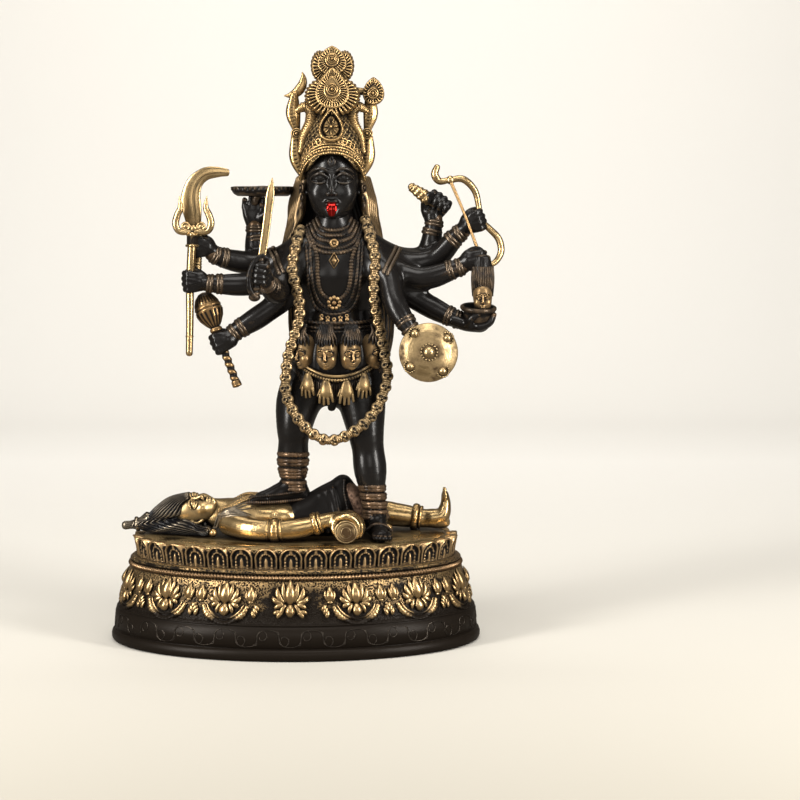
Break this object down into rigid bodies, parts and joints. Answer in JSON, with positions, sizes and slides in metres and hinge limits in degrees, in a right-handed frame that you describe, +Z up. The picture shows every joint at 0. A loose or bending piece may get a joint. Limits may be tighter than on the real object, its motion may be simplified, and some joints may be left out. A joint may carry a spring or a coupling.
{
  "type": "cast figure",
  "caption": "Cast brass statue of a many-armed crowned goddess with weapons, standing on a reclining god on an oval lotus plinth.",
  "frame": {"origin": "middle of the plinth's underside", "axes": "+X to the viewer's right, +Y away from the viewer, +Z up"},
  "size_m": [0.4065, 0.246, 0.6083],
  "materials": {
    "dark_patina": "black-brown patina with a soft gloss, rubbed back to gold on the ornaments' high points",
    "polished_brass": "warm polished brass, dark in the recesses, with a dark patinated cloth and hair",
    "aged_brass": "rubbed antique brass on the petals and flowers over a dark ground, almost black at the foot",
    "red_paint": "glossy red enamel on the tongue"
  },
  "bodies": {
    "root": {"lotus_plinth": "aged_brass", "reclining_figure": "polished_brass", "kali_figure": "dark_patina"}
  },
  "joints": []
}
